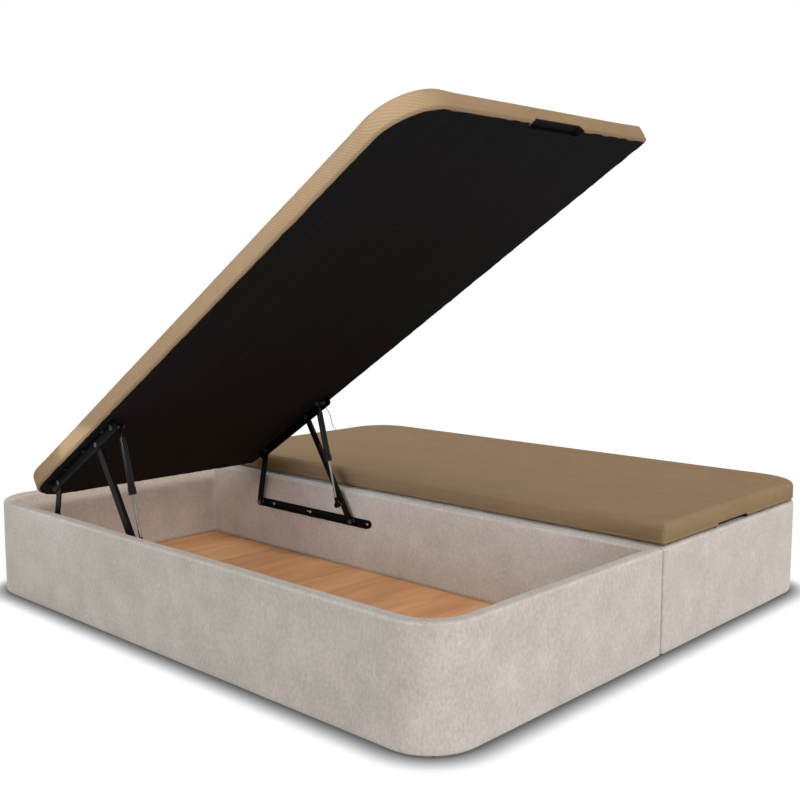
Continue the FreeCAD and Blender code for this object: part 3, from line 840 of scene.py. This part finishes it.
def lid_rings(low, high, sides, seed):
    """Rings of points up a lid's edge, and how firmly each point is held while the cover swells"""
    rings = []
    held = []
    for inset, height in lid_profile(low.z, high.z):
        share = (height - low.z) / (high.z - low.z)
        bow = math.sin(math.pi * min(max(share, 0), 1))
        ring = []
        for spot, out in lid_ring(low, high, inset, sides):
            point = Vector((spot.x, spot.y, height))
            lift = lid_wave * bow * (swell(point, lid_wave_size, seed) - 1)
            ring.append(point + Vector((*(out * lift), 0)))
        rings.append(ring)
        held += [1.0 if share < lid_held_share else 0.0] * len(ring)
    return rings, held


def puffed(piece, held_weights):
    """Blows the cloth up gently from inside, holding it by its weights, and keeps the capped result"""
    group = piece.vertex_groups.new(name="held")
    for index, weight in enumerate(held_weights):
        group.add([index], weight, "REPLACE")
    cloth = piece.modifiers.new("Cloth", "CLOTH")
    cloth.settings.vertex_group_mass = group.name
    cloth.settings.use_pressure = True
    cloth.settings.uniform_pressure_force = lid_pressure
    cloth.settings.effector_weights.gravity = 0.0
    scene = bpy.context.scene
    for number in range(1, simulated_frames + 1):
        scene.frame_set(number)
    settled = piece.evaluated_get(bpy.context.evaluated_depsgraph_get()).data
    places = [vertex.co.copy() for vertex in settled.vertices]
    piece.modifiers.remove(cloth)
    piece.vertex_groups.clear()
    for vertex, place in zip(piece.data.vertices, places):
        shift = place - vertex.co
        if shift.length > lid_puff_cap:
            shift *= lid_puff_cap / shift.length
        vertex.co += shift
    scene.frame_set(1)


def notch_cutter(low, place):
    """Trapezium prism of the finger pull's notch"""
    front = low.y - pull_overrun
    back = low.y + pull_depth
    under = low.z - pull_overrun
    over = low.z + pull_height
    outline = [
        (pull_centre - pull_half_width, under),
        (pull_centre + pull_half_width, under),
        (pull_centre + pull_half_width, low.z),
        (pull_centre + pull_half_top, over),
        (pull_centre - pull_half_top, over),
        (pull_centre - pull_half_width, low.z),
    ]
    count = len(outline)
    points = [(u, y, z) for y in (front, back) for u, z in outline]
    faces = [tuple(range(count)), tuple(range(2 * count - 1, count - 1, -1))]
    for index in range(count):
        following = (index + 1) % count
        faces.append((index, index + count, following + count, following))
    return make_piece("notch_cutter", points, faces, place, finishes["mesh_cloth"])


def cut_notch(piece, cutter):
    """Smooths a lid's cover and cuts the finger pull's notch out of it, as part of its mesh"""
    piece.modifiers.new("Subdivision", "SUBSURF").render_levels = 1
    cut = piece.modifiers.new("Notch", "BOOLEAN")
    cut.object = cutter
    cut.operation = "DIFFERENCE"
    cut.solver = "MANIFOLD"
    evaluated = piece.evaluated_get(bpy.context.evaluated_depsgraph_get())
    piece.data = bpy.data.meshes.new_from_object(evaluated)
    piece.modifiers.clear()
    piece.data.set_sharp_from_angle(angle=math.radians(sharp_angle))
    bpy.data.objects.remove(cutter)


def travelled(points):
    """Distance from the first point to each of the points along a line, in order"""
    distances = [0.0]
    for before, after in zip(points, points[1:]):
        distances.append(distances[-1] + (after - before).length)
    return distances


def lay_weave(piece, points, rings):
    """Lays the weave flat over a lid's top, and along the edge and up it on the rolled sides"""
    count = len(rings[0])
    side_faces = (len(rings) - 1) * count
    along = travelled(rings[-1] + rings[-1][:1])
    up = travelled([ring[-1] for ring in rings])
    layer = piece.data.uv_layers.new(name="weave")
    for face in piece.data.polygons:
        last = face.index % count == count - 1
        for loop in face.loop_indices:
            corner = piece.data.loops[loop].vertex_index
            row, column = divmod(corner, count)
            if face.index >= side_faces:
                layer.data[loop].uv = points[corner].xy
            elif last and column == 0:
                layer.data[loop].uv = (along[count], -up[row])
            else:
                layer.data[loop].uv = (along[column], -up[row])


def lid_cover(side, place, seed):
    """Mesh cloth over the foam of one lid, tucked under its edge"""
    low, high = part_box("right_lid_cover")
    sides = plan_sides(low, high, lid_column)
    rings, held = lid_rings(low, high, sides, seed)
    points = [point for ring in rings for point in ring]
    count = len(rings[0])
    top, top_faces = filled(rings[-1], len(points) - count, sides)
    for point in top:
        gap = min(point.x - low.x, high.x - point.x, point.y - low.y, high.y - point.y)
        held.append(min(1.0, gap / lid_held_band))
        point.z += lid_wave * lid_top_wave_share * swell(point, lid_top_wave_size, seed)
    points += top
    under, under_faces = filled(rings[0], 0, sides)
    shift = len(points) - count
    faces = lofted(rings, False) + top_faces
    for corners in under_faces:
        faces.append([corner if corner < count else corner + shift for corner in corners[::-1]])
    points += under
    held += [1.0] * len(under)
    piece = make_piece(side + "_lid_mesh", points, faces, place, finishes["mesh_cloth"])
    lay_weave(piece, points, rings)
    puffed(piece, held)
    cut_notch(piece, notch_cutter(low, place))
    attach(piece, side + "_lid")
    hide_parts(side + "_lid_cover", side + "_lid_padding")


def lining_rings(low, high, sides, seed):
    """Rings of points round a lining's edge, drawn in between the staples and clear of the finger pull"""
    level = low.z + hem_gap - lining_drop
    rings = []
    for share, lift in zip(lining_ring_shares, (0.0, 0.0, lining_slack)):
        inset = share * lining_inset
        ring = []
        for spot, out in lid_ring(low, high, inset, sides):
            point = Vector((spot.x, spot.y, level + lift))
            draw = 0.0
            if inset == lining_inset:
                draw = lining_scallop * swell(point, lining_scallop_size, seed)
            at_pull = out.y < -square_share and abs(spot.x - pull_centre) < pull_half_width
            if at_pull and inset < lining_pull_inset:
                draw = inset - lining_pull_inset
            ring.append(point + Vector((*(out * draw), 0)))
        rings.append(ring)
    return rings


def lid_lining(side, place, seed):
    """Black dust cover stapled under one lid"""
    low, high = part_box("right_lid_cover")
    sides = plan_sides(low, high, lining_column)
    rings = lining_rings(low, high, sides, seed)
    points = [point for ring in rings for point in ring]
    inner, inner_faces = filled(rings[-1], len(points) - len(rings[-1]), sides)
    for point in inner:
        point.z += lining_slack * swell(point, lining_slack_size, seed)
    faces = lofted(rings, False) + inner_faces
    piece = make_piece(side + "_dust_cover", points + inner, faces, place, finishes["lining"])
    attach(piece, side + "_lid")
    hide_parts(side + "_lid_lining")


def open_lid():
    """Place of the left lid: mirrored, then turned and lifted as its mattress face says"""
    mounts = {mount["name"]: mount for mount in frame["record"]["mounts"]}
    shut = Vector(mounts["right_mattress_face"]["pos_m"])
    lifted = mounts["left_mattress_face"]
    turn = -math.atan2(lifted["axis"][1], lifted["axis"][2])
    raised = Matrix.Translation(lifted["pos_m"]) @ Matrix.Rotation(turn, 4, "X")
    return raised @ Matrix.Translation(-(left_half @ shut)) @ left_half


# Tie wire
def tie_wire():
    """Thin wire left hanging from the pin of the centre gas spring"""
    curve = bpy.data.curves.new("tie_wire", "CURVE")
    curve.dimensions = "3D"
    curve.bevel_depth = wire_diameter / 2
    curve.use_fill_caps = True
    spline = curve.splines.new("NURBS")
    spline.points.add(len(wire_route) - 1)
    for point, place in zip(spline.points, wire_route):
        point.co = (*place, 1.0)
    spline.order_u = 3
    spline.use_endpoint_u = True
    curve.materials.append(finishes["wire"])
    wire = bpy.data.objects.new("tie_wire", curve)
    bpy.context.scene.collection.objects.link(wire)
    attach(wire, "left_lid")
    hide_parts("left_tie_wire")


# Studio
def seen_directly(tree):
    """1 where the camera, a reflection or a clear material sees the surface, else 0"""
    path = add_node(tree, "LightPath", {}).outputs
    mirrored = math_node(tree, "MAXIMUM", path["Is Glossy Ray"], path["Is Transmission Ray"])
    return math_node(tree, "MAXIMUM", path["Is Camera Ray"], mirrored)


def white_world():
    """Even soft light, seen as plain white"""
    world = bpy.data.worlds.new("Studio")
    world.use_nodes = True
    tree = world.node_tree
    strength = math_node(tree, "MULTIPLY_ADD", seen_directly(tree), 1 - ambient_level, ambient_level)
    background = tree.nodes["Background"]
    background.inputs["Color"].default_value = (*white, 1)
    tree.links.new(strength, background.inputs["Strength"])
    bpy.context.scene.world = world


def floor_material():
    """Pale floor that shows white, with the soft shadow where the boxes stand on it"""
    material = bpy.data.materials.new("Pale_floor")
    material.use_nodes = True
    tree = material.node_tree
    tree.nodes.remove(tree.nodes["Principled BSDF"])
    nearby = add_node(tree, "AmbientOcclusion", {"Distance": shadow_reach}, samples=shadow_samples)
    shade = math_node(tree, "POWER", nearby.outputs["AO"], shadow_power)
    shade = math_node(tree, "MAXIMUM", shade, shadow_least)
    glow = add_node(tree, "Emission", {"Color": (*white, 1), "Strength": shade})
    matt = add_node(tree, "BsdfDiffuse", {"Color": (floor_bounce, floor_bounce, floor_bounce, 1)})
    mixed = add_node(tree, "MixShader", {"Fac": seen_directly(tree)})
    tree.links.new(matt.outputs["BSDF"], mixed.inputs[1])
    tree.links.new(glow.outputs["Emission"], mixed.inputs[2])
    tree.links.new(mixed.outputs["Shader"], tree.nodes["Material Output"].inputs["Surface"])
    return material


def white_floor():
    """Large pale floor under the bed"""
    half = floor_half_size
    mesh = bpy.data.meshes.new("floor")
    corners = [(-half, -half, 0), (half, -half, 0), (half, half, 0), (-half, half, 0)]
    mesh.from_pydata(corners, [], [(0, 1, 2, 3)])
    mesh.materials.append(floor_material())
    floor = bpy.data.objects.new("floor", mesh)
    bpy.context.scene.collection.objects.link(floor)


def add_lamp(name, place, target, along, length, width, power, spread=wide_spread, tint=white):
    """Soft lamp turned to its target, with its length along a direction and its beam spread in degrees"""
    lamp = bpy.data.lights.new(name, "AREA")
    lamp.shape = "RECTANGLE"
    lamp.size = length
    lamp.size_y = width
    lamp.energy = power
    lamp.color = tint
    lamp.spread = math.radians(spread)
    back = (place - target).normalized()
    upright = back.cross(along).normalized()
    holder = bpy.data.objects.new(name, lamp)
    holder.location = place
    holder.rotation_euler = Matrix((upright.cross(back), upright, back)).transposed().to_euler()
    holder.visible_camera = False
    bpy.context.scene.collection.objects.link(holder)


def add_main_lamps():
    """Lamps before the foot end and on the left, and a narrow one that shines into the open box"""
    add_lamp("Key", key_place, lamp_target, across_bed, key_size, key_size, key_power)
    add_lamp("Side", side_place, lamp_target, along_bed, side_size, side_size, side_power)
    add_lamp(
        "Inside",
        inside_place,
        inside_target,
        (inside_target - inside_place).cross(upward),
        inside_length,
        inside_width,
        inside_power,
        inside_spread,
        inside_tint,
    )


def add_strip_lamp():
    """Long lamp beside the raised lid's outer edge"""
    raised = open_lid()
    lit = raised @ strip_middle
    slope = raised.to_3x3() @ along_bed
    tilt = math.radians(strip_tilt)
    back = -across_bed * math.cos(tilt) - slope * math.sin(tilt)
    along = slope * math.cos(tilt) - across_bed * math.sin(tilt)
    add_lamp(
        "Strip",
        lit + strip_distance * back,
        lit,
        along,
        strip_length,
        strip_width,
        strip_power,
        strip_spread,
        strip_tint,
    )


add_camera()
tie_wire()
dress_frame()
box_velvet("left", left_half, 1.0)
box_velvet("right", right_half, 2.0)
lid_cover("left", open_lid(), 3.0)
lid_cover("right", right_half, 4.0)
lid_lining("left", open_lid(), 5.0)
lid_lining("right", right_half, 6.0)
white_world()
white_floor()
add_main_lamps()
add_strip_lamp()
bpy.context.scene.view_settings.view_transform = "Standard"
